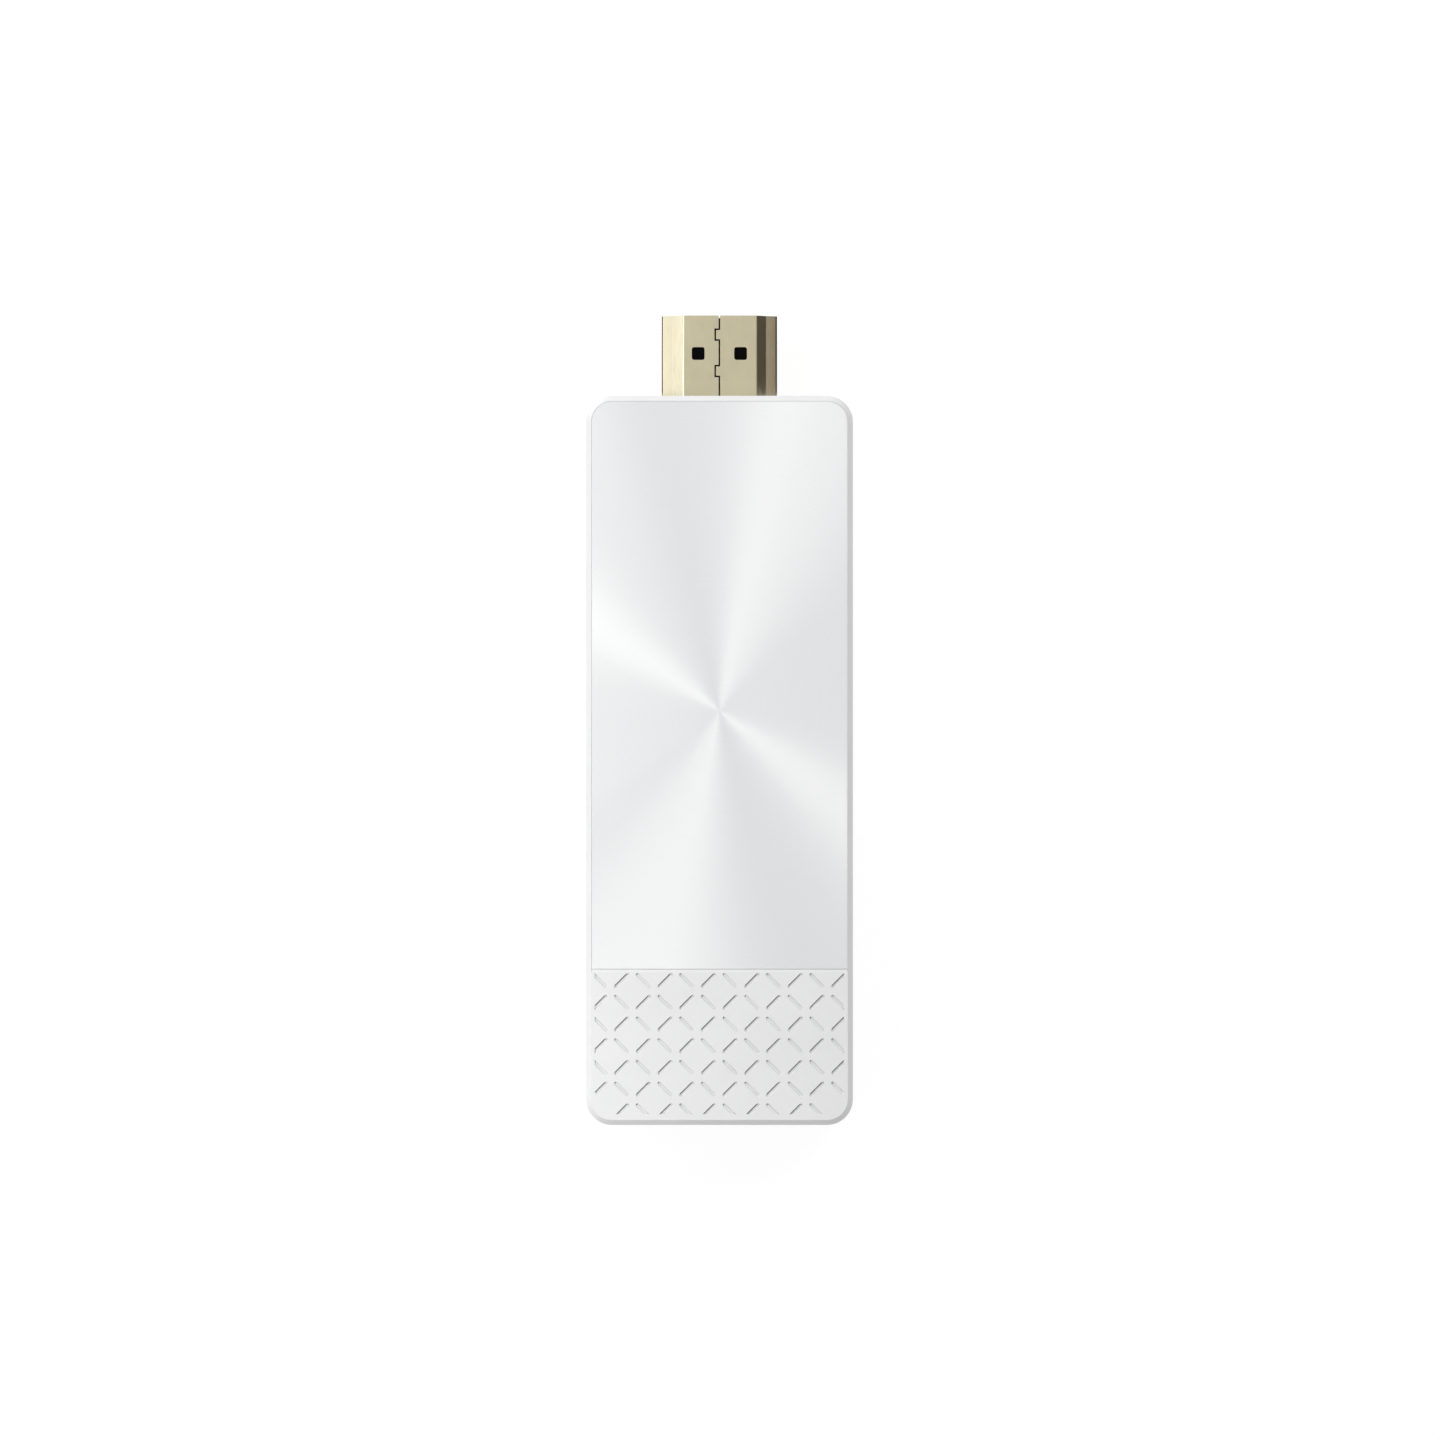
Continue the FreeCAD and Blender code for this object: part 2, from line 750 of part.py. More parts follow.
def build_board_screws():
    screws = []
    for x, y in boss_places:
        tip = board_top - screw_length
        head = standing_cylinder(x, y, board_top, board_top + screw_head_height, screw_head_radius)
        shank = standing_cylinder(x, y, tip, board_top, screw_radius)
        low = board_top + screw_head_height - screw_recess_depth
        high = board_top + screw_head_height
        cross = [plan_prism(centred_rectangle(x, y, screw_recess_span, screw_recess_width), low, high),
                 plan_prism(centred_rectangle(x, y, screw_recess_width, screw_recess_span), low, high)]
        screws.append(fuse([head, shank]).cut(cross))
    return Part.makeCompound(screws)


# Chips, pads and shields

def build_shield_frame():
    """Fence soldered to the board, with a flange turned in at the top."""
    middle_y = (shield_rear_y + shield_front_y) / 2
    length = shield_front_y - shield_rear_y

    def layer(inset, z_low, z_high):
        outline = centred_rectangle(0, middle_y, 2 * (shield_half_width - inset), length - 2 * inset)
        return plan_prism(outline, z_low, z_high)

    fence = layer(0, board_top, lid_underside)
    flange_z = lid_underside - shield_sheet
    room = [layer(shield_sheet, board_top, flange_z), layer(shield_flange, flange_z, lid_underside)]
    return fence.cut(room)


def finger_stations(length):
    """Places of the splits along one side of the lid's skirt, counted from its middle."""
    count = int(length // shield_finger_pitch)
    return [(index - (count - 1) / 2) * shield_finger_pitch for index in range(count)]


def build_shield_lid():
    """Cover pressed over the fence, its skirt split into sprung fingers."""
    width = 2 * (shield_half_width + shield_lid_gap)
    length = shield_front_y - shield_rear_y + 2 * shield_lid_gap
    middle_y = (shield_rear_y + shield_front_y) / 2
    skirt_z = lid_underside - shield_skirt
    finger_top = skirt_z + shield_finger_depth
    outer_width = width + 2 * shield_sheet
    outer_length = length + 2 * shield_sheet
    lid = plan_prism(centred_rectangle(0, middle_y, outer_width, outer_length), skirt_z, lid_top)
    taken = [plan_prism(centred_rectangle(0, middle_y, width, length), skirt_z, lid_underside)]
    for u in finger_stations(width):
        gap = centred_rectangle(u, middle_y, shield_finger_gap, outer_length)
        taken.append(plan_prism(gap, skirt_z, finger_top))
    for u in finger_stations(length):
        gap = centred_rectangle(0, middle_y + u, outer_width, shield_finger_gap)
        taken.append(plan_prism(gap, skirt_z, finger_top))
    return lid.cut(taken)


def build_small_parts(count, y, height):
    """Row of chips across the board, whose end caps stand a little proud of the middle."""
    across, along, _ = small_part_size
    half = along / 2
    inner = half - small_part_end
    waist = height - small_part_end_gap
    profile = [(-half, 0), (half, 0), (half, height), (inner, height), (inner, waist),
               (-inner, waist), (-inner, height), (-half, height)]
    outline = [(y + v, board_top + w, 0.0) for v, w in profile]
    parts = []
    for index in range(count):
        x = (index - (count - 1) / 2) * small_part_pitch
        parts.append(side_prism(outline, x - across / 2, x + across / 2))
    return Part.makeCompound(parts)


def build_inductor(x, y):
    """Moulded coil whose body has its corners cut above a square base."""
    across, along, height = inductor_size
    base = part_on_top(x, y, (across, along, inductor_base))
    body = part_on_top(x, y, inductor_size)
    upright = [edge for edge in body.Edges if abs(edge.Vertexes[0].Z - edge.Vertexes[1].Z) > TINY]
    return fuse([base, body.makeChamfer(inductor_corner, upright)])


def build_radio_board():
    """Daughter board with a row of notched solder pads down each side."""
    across, along, height = radio_board_size
    board = part_below(0, radio_y, radio_board_size)
    taken = []
    for index in range(radio_pad_count):
        y = radio_y + (index - (radio_pad_count - 1) / 2) * radio_pad_pitch
        for side in (-1, 1):
            notch = centred_rectangle(side * across / 2, y, 2 * radio_pad_depth, radio_pad_width)
            taken.append(plan_prism(notch, board_bottom - height, board_bottom))
    return board.cut(taken)


def build_radio_can():
    across, along, height = radio_can_size
    base = board_bottom - radio_board_size[2]
    outer = plan_prism(centred_rectangle(0, radio_y, across, along), base - height, base)
    inner = centred_rectangle(0, radio_y, across - 2 * shield_sheet, along - 2 * shield_sheet)
    return outer.cut(plan_prism(inner, base - height + shield_sheet, base))


def build_radio_chip():
    across, along, height = radio_chip_size
    base = board_bottom - radio_board_size[2]
    return plan_prism(centred_rectangle(0, radio_y, across, along), base - height, base)


def build_right_antenna():
    """Stamped strip held over the board by a grounded end and a feed leg."""
    outer_x = board_half_width - antenna_side_gap
    inner_x = outer_x - antenna_width
    tail = board_tail_y + antenna_tail_gap
    front = tail + antenna_length
    top = board_top + antenna_height
    plate = block(inner_x, outer_x, tail, front, top - antenna_sheet, top)
    ground = block(inner_x, outer_x, front - antenna_sheet, front, board_top, top)
    feed_y = front - antenna_leg_spacing
    feed = block(inner_x, inner_x + antenna_sheet, feed_y - antenna_leg_width, feed_y, board_top, top)
    notches = []
    for index in range(antenna_notch_count):
        low = tail + antenna_notch_pitch * (index + 0.5)
        side = index % 2
        start = inner_x if side else inner_x + antenna_leg_width
        end = outer_x - antenna_leg_width if side else outer_x
        notches.append(block(start, end, low, low + antenna_notch_width, top - antenna_sheet, top))
    return fuse([plate, ground, feed]).cut(notches)


# Power socket

def socket_legs(grow):
    """Pins of the shell's wings that go down through the board."""
    legs = []
    x = socket_width / 2 + socket_wing_width
    y = socket_rear_y - socket_wing_length / 2
    half = socket_leg_width / 2 + grow
    leg = block(x - socket_sheet - grow, x + grow, y - half, y + half, board_bottom - socket_sheet,
                board_top + socket_sheet)
    legs += [leg, mirrored(leg)]
    return legs


def build_socket_shell():
    shell = socket_body(0, socket_mouth_y, socket_rear_y)
    shell = shell.cut(socket_body(-socket_sheet, socket_mouth_y, socket_rear_y))
    edge = socket_width / 2 - socket_sheet
    wing = block(edge, socket_width / 2 + socket_wing_width, socket_rear_y - socket_wing_length,
                 socket_rear_y, board_top, board_top + socket_sheet)
    return fuse([shell, wing, mirrored(wing)] + socket_legs(0))


def socket_tongue_z():
    return parting_z + socket_tongue_rise


def build_socket_contacts():
    """Flat contacts under the tongue that climb behind the shell to pads on the board."""
    low = socket_tongue_z() - socket_tongue_thickness / 2
    tip = socket_mouth_y + socket_contact_setback
    pad_z = board_top + socket_contact_sheet / 2
    line = [(tip, low), (socket_rear_y, low), (socket_rear_y + socket_tail_room / 2, pad_z),
            (socket_rear_y + socket_tail_room + socket_pad_length, pad_z)]
    outline = band(line, socket_contact_sheet)
    contacts = []
    for index in range(socket_contact_count):
        x = (index - (socket_contact_count - 1) / 2) * socket_contact_pitch
        contacts.append(side_prism(outline, x - socket_contact_width / 2, x + socket_contact_width / 2))
    return Part.makeCompound(contacts)


def build_socket_tongue(contacts):
    back = socket_body(-socket_sheet - insulator_fit, socket_rear_y - socket_back_length, socket_rear_y)
    tongue = front_prism(centred_rectangle(0, socket_tongue_z(), socket_tongue_width,
                                           socket_tongue_thickness),
                         socket_mouth_y + socket_tongue_setback, socket_rear_y - socket_back_length)
    return fuse([back, tongue]).cut(contacts)


# Reset button and its switch

def button_outline(grow):
    """Face of the button as y and z, with fully round ends."""
    height = button_height + 2 * grow
    length = button_length + 2 * grow
    return centred_rectangle(button_y, button_z, length, height, height / 2)


def switch_front_x():
    """Front of the switch body, where its plunger just meets the button's stem."""
    flange_inner = inner_half_width - button_rest_gap - button_flange_thickness
    return flange_inner - button_travel - 2 * switch_sheet - switch_reach


def plunger_tip_x():
    return switch_front_x() + switch_sheet + switch_reach


def plunger_head_back_x():
    return switch_front_x() - button_rest_gap - plunger_head_thickness


def build_reset_button():
    flange_front = inner_half_width - button_rest_gap
    flange_back = flange_front - button_flange_thickness
    cap = side_prism(button_outline(0), flange_back, half_width - button_recess)
    rim = [edge for edge in cap.Edges
           if all(abs(v.X - half_width + button_recess) < TINY for v in edge.Vertexes)]
    cap = cap.makeChamfer(button_edge_round, rim)
    flange = side_prism(centred_rectangle(button_y, button_z, button_length + 2 * button_flange_margin,
                                          button_height + 2 * button_flange_rise),
                        flange_back, flange_front)
    stem = side_prism(centred_rectangle(button_y, button_z, button_stem_length, button_stem_height),
                      plunger_tip_x(), flange_back)
    return fuse([cap, flange, stem])


def build_switch_body():
    front = switch_front_x()
    body = block(front - switch_depth, front, button_y - switch_width / 2, button_y + switch_width / 2,
                 board_top, board_top + switch_height)
    pocket_back = plunger_head_back_x() - snap_plate_rise
    pocket = centred_rectangle(button_y, button_z, switch_width - 2 * switch_wall,
                               switch_height - 2 * switch_wall)
    return body.cut(side_prism(pocket, pocket_back, front))


def build_switch_frame():
    """Sheet cover over the switch, open where the plunger comes out, with two legs."""
    front = switch_front_x()
    half = switch_width / 2
    top = board_top + switch_height
    roof = block(front - switch_depth, front + switch_sheet, button_y - half - switch_sheet,
                 button_y + half + switch_sheet, top, top + switch_sheet)
    face = block(front, front + switch_sheet, button_y - half - switch_sheet, button_y + half + switch_sheet,
                 board_top, top)
    legs = [block(front - switch_depth / 2, front + switch_sheet, low, low + switch_sheet, board_top, top)
            for low in (button_y - half - switch_sheet, button_y + half)]
    window = centred_rectangle(button_y, button_z, button_stem_length + 2 * switch_window_gap,
                               button_stem_height + 2 * switch_window_gap)
    return fuse([roof, face] + legs).cut(side_prism(window, front, front + switch_sheet))


def build_switch_plunger():
    front = switch_front_x()
    back = plunger_head_back_x()
    margin = 2 * (switch_wall + plunger_head_gap)
    head = side_prism(centred_rectangle(button_y, button_z, switch_width - margin, switch_height - margin),
                      back, front - button_rest_gap)
    stem = side_prism(centred_rectangle(button_y, button_z, button_stem_length, button_stem_height),
                      front - button_rest_gap, plunger_tip_x())
    return fuse([head, stem])


def build_switch_snap_plate():
    """Arched snap plate behind the plunger, its crown towards the button."""
    crown = plunger_head_back_x()
    low = button_z - snap_plate_height / 2
    half = snap_plate_span / 2

    def arch(rise):
        start = V(crown - snap_plate_rise, button_y - half, low)
        end = V(crown - snap_plate_rise, button_y + half, low)
        bow = Part.Arc(start, V(crown - snap_plate_rise + rise, button_y, low), end).toShape()
        return Part.Face(Part.Wire([bow, Part.makeLine(end, start)])).extrude(V(0, 0, snap_plate_height))

    return arch(snap_plate_rise).cut(arch(snap_plate_rise - snap_plate_sheet))


# Status light

def elbow_x():
    """Middle of the light, under the bend of its pipe."""
    return inner_half_width - pipe_collar_thickness - pipe_elbow


def build_light_pipe():
    """Clear elbow: light goes up from the lamp, turns at a slanted face and leaves by the wall."""
    half = pipe_block / 2
    back = elbow_x() - half
    front = elbow_x() + half
    low = board_top + light_size[2] + light_lens_height + light_gap
    top = button_z + half
    elbow = [(back, low, 0), (front, low, 0), (front, top, 0), (back + pipe_slant, top, 0),
             (back, top - pipe_slant, 0)]
    bend = front_prism(elbow, light_y - half, light_y + half)
    rod = Part.makeCylinder(pipe_radius, half_width - button_recess - front,
                            V(front, light_y, button_z), V(1, 0, 0))
    collar = side_prism(centred_rectangle(light_y, button_z, pipe_collar, pipe_collar),
                        inner_half_width - pipe_collar_thickness, inner_half_width)
    return fuse([bend, rod, collar])


def build_status_light():
    across, along, height = light_size
    base = part_on_top(elbow_x(), light_y, light_size)
    lens = plan_prism(centred_rectangle(elbow_x(), light_y, across - 2 * light_lens_inset, along),
                      board_top + height, board_top + height + light_lens_height)
    return fuse([base, lens])


def build_pieces():
    """Every piece of the dongle by name."""
    pieces = {
        "bottom_cover": build_bottom_cover(),
        "top_cover": build_top_cover(),
        "spun_top_plate": build_spun_top_plate(),
        "plate_adhesive": build_plate_adhesive(),
        "heat_spreader": build_heat_spreader(),
        "plug_shell": build_plug_shell(),
        "main_board": build_main_board(),
        "board_screws": build_board_screws(),
    }
    upper = build_plug_contacts(1, contact_upper_count)
    lower = build_plug_contacts(-1, contact_lower_count)
    pieces["plug_contacts_upper"] = upper
    pieces["plug_contacts_lower"] = lower
    pieces["plug_insulator"] = build_plug_insulator([upper, lower])

    system_height = board_top + system_chip_size[2]
    across, along, _ = system_chip_size
    pieces["system_chip"] = part_on_top(0, system_chip_y, system_chip_size)
    pieces["system_chip_pad"] = plan_prism(centred_rectangle(0, system_chip_y, across, along),
                                           system_height, lid_underside)
    pieces["spreader_pad"] = plan_prism(centred_rectangle(0, system_chip_y, across, along),
                                        lid_top, spreader_underside)
    for index, side in enumerate((-1, 1)):
        memory_x = side * memory_spacing / 2
        pieces["memory_chip_%d" % (index + 1)] = part_on_top(memory_x, memory_y, memory_chip_size)
    pieces["shield_frame"] = build_shield_frame()
    pieces["shield_lid"] = build_shield_lid()

    display_y = board_front_y - contact_pad_length - part_row_gap
    arrays = [part_on_top((index - (surge_array_count - 1) / 2) * surge_array_spacing,
                          display_y, surge_array_size) for index in range(surge_array_count)]
    pieces["surge_arrays"] = Part.makeCompound(arrays)
    pieces["display_driver_chip"] = part_below(0, display_y - display_chip_size[1] / 2, display_chip_size)
    pieces["flash_chip"] = part_below(0, memory_y, flash_chip_size)

    power_y = shield_rear_y - part_row_gap - power_chip_size[1] / 2
    inductor_y = power_y - power_chip_size[1] / 2 - part_row_gap - inductor_size[1] / 2
    pieces["power_chip"] = part_on_top(0, power_y, power_chip_size)
    pieces["crystal"] = part_on_top(-power_chip_size[0] - part_row_gap, power_y, crystal_size)
    for index, side in enumerate((-1, 1)):
        x = side * inductor_spacing / 2
        pieces["power_inductor_%d" % (index + 1)] = build_inductor(x, inductor_y)
        capacitor_x = side * bulk_capacitor_spacing / 2
        pieces["bulk_capacitor_%d" % (index + 1)] = part_below(capacitor_x, power_y - part_row_gap,
                                                               bulk_capacitor_size)
    row_y = inductor_y - inductor_size[1] / 2 - part_row_gap
    pieces["chip_capacitors"] = build_small_parts(capacitor_count, row_y, small_part_size[2])
    row_y -= small_part_size[1] + part_row_gap
    pieces["chip_resistors"] = build_small_parts(resistor_count, row_y, resistor_height)

    pieces["radio_board"] = build_radio_board()
    pieces["radio_can"] = build_radio_can()
    pieces["radio_chip"] = build_radio_chip()
    pieces["antenna_right"] = build_right_antenna()
    pieces["antenna_left"] = mirrored(pieces["antenna_right"])

    socket_contacts = build_socket_contacts()
    pieces["socket_shell"] = build_socket_shell()
    pieces["socket_contacts"] = socket_contacts
    pieces["socket_tongue"] = build_socket_tongue(socket_contacts)

    pieces["reset_button"] = build_reset_button()
    pieces["switch_plunger"] = build_switch_plunger()
    pieces["switch_body"] = build_switch_body()
    pieces["switch_frame"] = build_switch_frame()
    pieces["switch_snap_plate"] = build_switch_snap_plate()
    pieces["light_pipe"] = build_light_pipe()
    pieces["status_light"] = build_status_light()
    return pieces


os.makedirs("parts", exist_ok=True)
for name, shape in build_pieces().items():
    shape.exportStep("parts/%s.step" % name)
    print(name, "solids", len(shape.Solids), "valid", shape.isValid(), "volume", round(shape.Volume, 2))
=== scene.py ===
import json
import math

import bpy
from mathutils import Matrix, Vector


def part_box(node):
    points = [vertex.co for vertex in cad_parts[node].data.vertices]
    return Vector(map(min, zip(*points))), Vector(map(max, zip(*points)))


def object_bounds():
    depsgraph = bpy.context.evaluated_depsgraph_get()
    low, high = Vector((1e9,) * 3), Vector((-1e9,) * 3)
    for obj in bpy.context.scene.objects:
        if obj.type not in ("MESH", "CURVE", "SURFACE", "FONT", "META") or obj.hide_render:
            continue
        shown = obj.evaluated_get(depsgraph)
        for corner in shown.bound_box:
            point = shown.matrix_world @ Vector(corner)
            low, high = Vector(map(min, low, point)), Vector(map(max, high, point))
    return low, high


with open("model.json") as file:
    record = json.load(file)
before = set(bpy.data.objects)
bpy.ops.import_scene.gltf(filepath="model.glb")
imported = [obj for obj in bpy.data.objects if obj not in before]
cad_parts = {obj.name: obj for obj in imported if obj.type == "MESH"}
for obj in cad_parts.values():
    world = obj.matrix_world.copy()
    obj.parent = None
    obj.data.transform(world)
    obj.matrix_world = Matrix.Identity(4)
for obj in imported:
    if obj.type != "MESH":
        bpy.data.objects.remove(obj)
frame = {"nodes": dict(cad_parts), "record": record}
cad_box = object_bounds()

# Sizes in metres, angles in degrees; colours are linear red, green and blue
MM = 0.001
SIDE_X = cad_box[1].x
TAIL_Y = cad_box[0].y
TOP_Z = cad_box[1].z

# Camera, straight above the spun face; the frame's width is measured at that face
SENSOR_WIDTH = 36.0
LENS = 187.0
FRAME_WIDTH = 172.5 * MM
CAMERA_X = 0.07 * MM
CAMERA_Y = -0.06 * MM

# Middle of the spun plate's rings
SPIN_CENTRE = (0.0, 1.05 * MM, TOP_Z)

# Lattice of grooves on the tail, where the groove walls get painted shade: its limits along X, Y and Z
LATTICE_FIELD = ((-SIDE_X + 1 * MM, SIDE_X - 1 * MM),
                 (TAIL_Y + 1.3 * MM, TAIL_Y + 18.6 * MM),
                 (TOP_Z - 0.2 * MM, TOP_Z - 0.002 * MM))
# Direction of the tail's right corner, and how far a groove wall has to face it to get painted shade
PAINTED_SHADE_SIDE = (0.707, -0.707, 0.0)
PAINTED_SHADE_FACING = (0.72, 0.78)

# Values that noise seldom leaves, and how far it moves a roughness down and up
NOISE_RANGE = (0.3, 0.7)
SMOOTHER = 0.04
ROUGHER = 0.06
# Open shares of the surroundings between which a recess gets painted shade
PAINTED_RECESS_SHADE_RANGE = (0.5, 0.95)

# Small parts on the circuit board
TINNED_END = 0.3 * MM
TIN = (0.62, 0.61, 0.58)
STRIPE_COLOUR = (0.16, 0.07, 0.03)
STRIPE_START = 1.6 * MM
STRIPE_END = 0.7 * MM

# Surroundings and floor
AMBIENT = 0.51
FLOOR_SIZE = 4.0
FLOOR_LIFT = 0.01 * MM
FLOOR_TONE = 0.7
FLOOR_SHARE = 0.22
FLOOR_GLOW = 0.85

# Lights on the surfaces: azimuth, elevation, distance, width, height and radiance
SURFACE_LIGHTS = {
    "left_light": (209, 24, 0.07, 0.16, 0.03, 1.15),
    "key_light": (138, 35, 0.30, 0.06, 0.06, 35.0),
    "top_light": (50, 43, 0.45, 0.30, 0.12, 4.9),
}

# Strips that show in gloss only, the far ones by azimuth, elevation and radiance
GLOSS_TINT = (1.0, 0.975, 0.93)
STRIP_DISTANCE = 0.40
STRIP_HEIGHT = 0.09
NARROW_WIDTH = 0.026
NARROW_STRIPS = ((266, 75, 0.6), (316, 75, 3.2), (326, 75, 2.4), (79, 62, 5.2))
WIDE_WIDTH = 0.045
WIDE_STRIPS = ((240, 75, 3.2), (262, 75, 2.4), (67, 62, 1.4))
# The near ones, with the same values as the lights on the surfaces
NEAR_STRIPS = {
    "left_strip": (180, 56, 0.108, 0.10, 0.04, 2.8),
    "front_left_strip": (132, 52, 0.115, 0.06, 0.04, 1.9),
}

# Cards beside the plug: where they start and stand along X, and their ends along Y
CARD_START = 7.5 * MM
CARD_DISTANCE = 20 * MM
CARD_ENDS = (39.5 * MM, 52 * MM)
# Heights of the slanting foot's near edge, of its far edge, and of the upright card's top
CARD_NEAR_EDGE = 1 * MM
CARD_FOOT = 5.8 * MM
CARD_HEIGHT = 18 * MM
# Each card's tone at the lower and at the upper height, then these heights, then its tint
COOL = (0.985, 1.0, 1.05)
WARM = (1.06, 0.97, 0.93)
BRIGHT_CARD = (2.0, 1.85, 9.3 * MM, 16.3 * MM, COOL)
DARK_CARD = (0.13, 0.52, 8 * MM, 18.2 * MM, WARM)
FOOT_CARD = (0.07, 0.07, 0.0, CARD_HEIGHT, WARM)


# Node helpers

def empty_material(name):
    """Material without nodes; returns it and its tree."""
    material = bpy.data.materials.new(name)
    material.use_nodes = True
    material.node_tree.nodes.clear()
    return material, material.node_tree


def new_material(name):
    """Node material with a Principled surface; returns the material, its tree and that node."""
    material, tree = empty_material(name)
    output = tree.nodes.new("ShaderNodeOutputMaterial")
    surface = tree.nodes.new("ShaderNodeBsdfPrincipled")
    tree.links.new(surface.outputs["BSDF"], output.inputs["Surface"])
    return material, tree, surface


def add_node(tree, kind, inputs=None, **settings):
    """Adds a node; inputs maps socket names or numbers to a value or to the socket that feeds it."""
    node = tree.nodes.new(kind)
    for key, value in settings.items():
        setattr(node, key, value)
    for key, value in (inputs or {}).items():
        if isinstance(value, bpy.types.NodeSocket):
            tree.links.new(value, node.inputs[key])
        else:
            node.inputs[key].default_value = value
    return node


def feed(tree, node, **inputs):
    """Sets or links the sockets of a node by name, with underscores for spaces."""
    for key, value in inputs.items():
        socket = node.inputs[key.replace("_", " ")]
        if isinstance(value, bpy.types.NodeSocket):
            tree.links.new(value, socket)
        else:
            socket.default_value = value


def rgba(colour, share=1.0):
    """Opaque colour for a socket, darker or paler by a share."""
    return (*[share * c for c in colour], 1.0)


def place(tree):
    """Position on the part, in metres."""
    return add_node(tree, "ShaderNodeTexCoord").outputs["Object"]


def axes(tree, vector):
    """The X, Y and Z of a vector."""
    return add_node(tree, "ShaderNodeSeparateXYZ", {0: vector}).outputs


def maths(tree, operation, first, second):
    """Result of an operation on two values."""
    return add_node(tree, "ShaderNodeMath", {0: first, 1: second}, operation=operation).outputs[0]


def vector_maths(tree, operation, first, second=None):
    """Outputs of an operation on one or two vectors."""
    inputs = {0: first} if second is None else {0: first, 1: second}
    return add_node(tree, "ShaderNodeVectorMath", inputs, operation=operation).outputs


def noise(tree, size, detail=2.0, stretch=(1.0, 1.0, 1.0), roughness=0.5):
    """Noise whose grain is about the given size; stretch lengthens it along each axis."""
    scaled = add_node(tree, "ShaderNodeMapping", {"Vector": place(tree), "Scale": [1 / s for s in stretch]})
    texture = add_node(tree, "ShaderNodeTexNoise", {"Vector": scaled.outputs["Vector"], "Scale": 1 / size,
                                                    "Detail": detail, "Roughness": roughness})
    return texture.outputs["Fac"]


def ranged(tree, value, low, high, start=0.0, end=1.0):
    """Value carried from the range low to high into the range start to end, and kept inside it."""
    node = add_node(tree, "ShaderNodeMapRange", {"Value": value, "From Min": low, "From Max": high,
                                                 "To Min": start, "To Max": end})
    return node.outputs["Result"]


def spread(tree, grain, start=0.0, end=1.0):
    """Noise carried into the range start to end."""
    return ranged(tree, grain, *NOISE_RANGE, start, end)


def uneven(tree, grain, roughness):
    """Roughness that noise moves a little down and up."""
    return spread(tree, grain, roughness - SMOOTHER, roughness + ROUGHER)


def blended(tree, share, first, second):
    """Colour between two colours."""
    node = add_node(tree, "ShaderNodeMix", {"Factor": share, 6: first, 7: second}, data_type="RGBA")
    return node.outputs[2]


def between(tree, value, low, high):
    """1 where the value lies between low and high, else 0."""
    above = maths(tree, "GREATER_THAN", value, low)
    below = maths(tree, "LESS_THAN", value, high)
    return maths(tree, "MULTIPLY", above, below)


def rounded_normal(tree, radius):
    """Normal with the sharp edges softened, as moulded and stamped edges are."""
    return add_node(tree, "ShaderNodeBevel", {"Radius": radius}, samples=6).outputs["Normal"]


def bumped(tree, height, depth, edge_radius=None):
    """Normal that a height of 0 to 1 bumps by a depth, over softened edges where a radius is given."""
    inputs = {"Height": height, "Strength": 1.0, "Distance": depth}
    if edge_radius is not None:
        inputs["Normal"] = rounded_normal(tree, edge_radius)
    return add_node(tree, "ShaderNodeBump", inputs).outputs["Normal"]


# Materials

def painted_shade_groove_walls(tree):
    """1 on the lattice grooves' walls that face the tail's right corner, where shade is painted into the
    colour.
    """
    normal = add_node(tree, "ShaderNodeNewGeometry").outputs["True Normal"]
    facing = vector_maths(tree, "DOT_PRODUCT", normal, PAINTED_SHADE_SIDE)["Value"]
    share = ranged(tree, facing, *PAINTED_SHADE_FACING)
    where = axes(tree, place(tree))
    for axis, (low, high) in zip("XYZ", LATTICE_FIELD):
        share = maths(tree, "MULTIPLY", share, between(tree, where[axis], low, high))
    return share


def moulded_plastic(name, colour, roughness=0.42, grain=0.09 * MM, grain_depth=0.0012 * MM,
                    edge_radius=0.12 * MM, gloss=0.5, painted_recess_shade_reach=0.13 * MM, cavity_tone=0.45,
                    groove_tone=1.0):
    """Moulded plastic with an eroded grain, faint colour clouds, softened edges and painted shade in its
    recesses, and painted shade on one side of the lattice grooves' walls when a groove shade tone below 1
    is given.
    """
    material, tree, surface = new_material(name)
    feed(tree, surface, Specular_IOR_Level=gloss)
    clouds = noise(tree, 6 * MM, detail=3.0)
    tone = blended(tree, spread(tree, clouds), rgba(colour, 0.97), rgba(colour))
    # Painted shade: recesses are darkened in the base colour by how little of the surroundings they see
    open_share = add_node(tree, "ShaderNodeAmbientOcclusion", {"Distance": painted_recess_shade_reach}, samples=12,
                          only_local=True).outputs["AO"]
    tone = blended(tree, ranged(tree, open_share, *PAINTED_RECESS_SHADE_RANGE), rgba(colour, cavity_tone), tone)
    # Painted shade: the groove walls that face the tail's right corner are darkened in the base colour
    if groove_tone < 1.0:
        tone = blended(tree, painted_shade_groove_walls(tree), tone, rgba(colour, groove_tone))
    feed(tree, surface, Base_Color=tone)
    fine = noise(tree, grain, detail=3.0)
    feed(tree, surface, Roughness=uneven(tree, fine, roughness))
    feed(tree, surface, Normal=bumped(tree, fine, grain_depth, edge_radius))
    return material


def sheet_metal(name, colour, roughness=0.25, stretch=(1.0, 14.0, 1.0), grain=0.12 * MM,
                grain_depth=0.0004 * MM, tarnish=0.94, edge_radius=0.06 * MM):
    """Rolled or plated sheet: fine lines along the rolling direction and slightly uneven tone."""
    material, tree, surface = new_material(name)
    clouds = noise(tree, 4 * MM, detail=4.0)
    tone = blended(tree, spread(tree, clouds), rgba(colour, tarnish), rgba(colour))
    feed(tree, surface, Metallic=1.0, Base_Color=tone)
    lines = noise(tree, grain, detail=2.0, stretch=stretch)
    feed(tree, surface, Roughness=uneven(tree, lines, roughness))
    feed(tree, surface, Normal=bumped(tree, lines, grain_depth, edge_radius))
    return material


